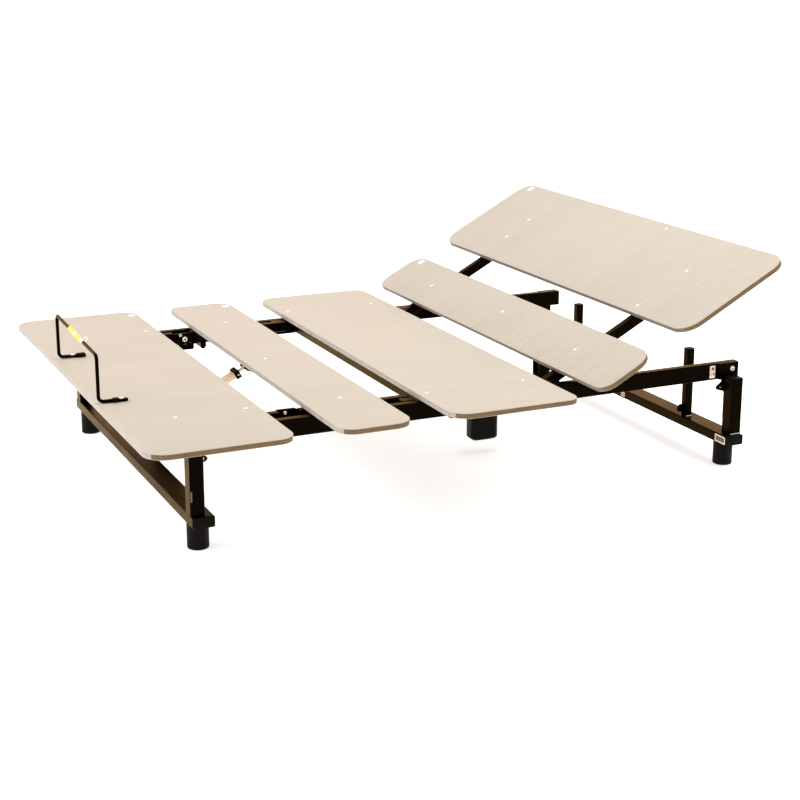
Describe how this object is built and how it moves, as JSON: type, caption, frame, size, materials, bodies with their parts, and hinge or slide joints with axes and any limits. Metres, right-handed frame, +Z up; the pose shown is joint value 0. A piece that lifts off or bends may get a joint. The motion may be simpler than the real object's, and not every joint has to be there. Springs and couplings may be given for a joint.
{
  "type": "adjustable bed base",
  "caption": "Electric bed base with wooden panels on a steel frame: the back section tilts up, and the thigh section folds while the foot section stays level.",
  "frame": {"origin": "centre of the floor rectangle under the whole bed base, on the floor", "axes": "X across the bed with the near side +X, Y along the bed with the head end +Y, Z up"},
  "size_m": [1.5, 1.8721, 0.6604],
  "materials": {
    "panel": "bare particle board with a fine speckled grain, matt",
    "frame_steel": "near-black satin powder coat",
    "zinc": "bright zinc plated bolts",
    "leg_pad": "black moulded plastic feet",
    "motor_housing": "glossy black moulded housing",
    "actuator_tube": "cream painted tube",
    "spindle": "plain steel rod"
  },
  "bodies": {
    "base": {"seat_panel": "panel", "side_rail_near": "frame_steel", "side_rail_far": "frame_steel", "base_tube_foot": "frame_steel", "base_tube_head": "frame_steel", "leg_bar_foot": "frame_steel", "leg_bar_head": "frame_steel", "back_anchor": "frame_steel", "leg_anchor": "frame_steel", "post_foot_near": "frame_steel", "post_foot_far": "frame_steel", "post_head_near": "frame_steel", "post_head_far": "frame_steel", "plate_foot_near": "frame_steel", "plate_foot_far": "frame_steel", "plate_head_near": "frame_steel", "plate_head_far": "frame_steel", "foot_foot_near": "leg_pad", "foot_foot_far": "leg_pad", "foot_head_near": "leg_pad", "foot_head_far": "leg_pad", "stub_post_near": "frame_steel", "stub_post_far": "frame_steel", "back_stud_near": "frame_steel", "back_stud_far": "frame_steel", "thigh_stud_near": "frame_steel", "thigh_stud_far": "frame_steel", "link_anchor_near": "frame_steel", "link_anchor_far": "frame_steel"},
    "back_section": {"back_arm_near": "frame_steel", "back_arm_far": "frame_steel", "lumbar_tube": "frame_steel", "head_tube": "frame_steel", "back_crank": "frame_steel", "lumbar_panel": "panel", "head_panel": "panel"},
    "thigh_section": {"thigh_arm_near": "frame_steel", "thigh_arm_far": "frame_steel", "thigh_tube": "frame_steel", "thigh_crank": "frame_steel", "thigh_panel": "panel"},
    "foot_section": {"foot_arm_near": "frame_steel", "foot_arm_far": "frame_steel", "foot_tube": "frame_steel", "foot_panel": "panel", "retainer_bar": "frame_steel", "knee_pin_near": "zinc", "knee_pin_far": "zinc"},
    "lower_link_near": {"lower_link_near": "frame_steel"},
    "lower_link_far": {"lower_link_far": "frame_steel"},
    "back_actuator": {"back_motor": "motor_housing", "back_shell": "frame_steel", "back_clamp": "motor_housing"},
    "back_rod": {"back_spindle": "spindle"},
    "leg_actuator": {"leg_motor": "motor_housing", "leg_shell": "actuator_tube", "leg_clamp": "motor_housing"},
    "leg_rod": {"leg_spindle": "spindle"}
  },
  "joints": [
    {"name": "back_hinge", "type": "hinge", "parent": "base", "child": "back_section", "pos_m": [0, 0.3168, 0.299], "axis": [1, 0, 0], "range_deg": [-28, 32]},
    {"name": "thigh_hinge", "type": "hinge", "parent": "base", "child": "thigh_section", "pos_m": [0, -0.138, 0.299], "axis": [-1, 0, 0], "range_deg": [0, 35]},
    {"name": "knee_hinge", "type": "hinge", "parent": "thigh_section", "child": "foot_section", "pos_m": [0, -0.466, 0.294], "axis": [1, 0, 0], "range_deg": [0, 35]},
    {"name": "link_hinge_near", "type": "hinge", "parent": "base", "child": "lower_link_near", "pos_m": [0.45, -0.45, 0.27], "axis": [-1, 0, 0], "range_deg": [0, 35]},
    {"name": "link_hinge_far", "type": "hinge", "parent": "base", "child": "lower_link_far", "pos_m": [-0.45, -0.45, 0.27], "axis": [-1, 0, 0], "range_deg": [0, 35]},
    {"name": "back_actuator_tilt", "type": "hinge", "parent": "base", "child": "back_actuator", "pos_m": [0.15, 0.17, 0.14], "axis": [1, 0, 0], "range_deg": [-13.31, 15.21]},
    {"name": "back_rod_slide", "type": "slide", "parent": "back_actuator", "child": "back_rod", "axis": [0, 0.9659, 0.2588], "range_m": [-0.05468, 0.06248]},
    {"name": "leg_actuator_tilt", "type": "hinge", "parent": "base", "child": "leg_actuator", "pos_m": [-0.15, -0.697, 0.09], "axis": [1, 0, 0], "range_deg": [-0.05, 12.24]},
    {"name": "leg_rod_slide", "type": "slide", "parent": "leg_actuator", "child": "leg_rod", "axis": [0, 0.8749, 0.4843], "range_m": [-0.0001, 0.09679]}
  ],
  "couplings": [
    {"joint": "knee_hinge", "follows": "thigh_hinge", "ratio": 1},
    {"joint": "link_hinge_near", "follows": "thigh_hinge", "ratio": 1},
    {"joint": "link_hinge_far", "follows": "thigh_hinge", "ratio": 1},
    {"joint": "leg_actuator_tilt", "follows": "thigh_hinge", "ratio": 0.34825},
    {"joint": "leg_rod_slide", "follows": "thigh_hinge", "m_per_rad": 0.15829},
    {"joint": "back_actuator_tilt", "follows": "back_hinge", "ratio": 0.47372},
    {"joint": "back_rod_slide", "follows": "back_hinge", "m_per_rad": 0.11169}
  ]
}
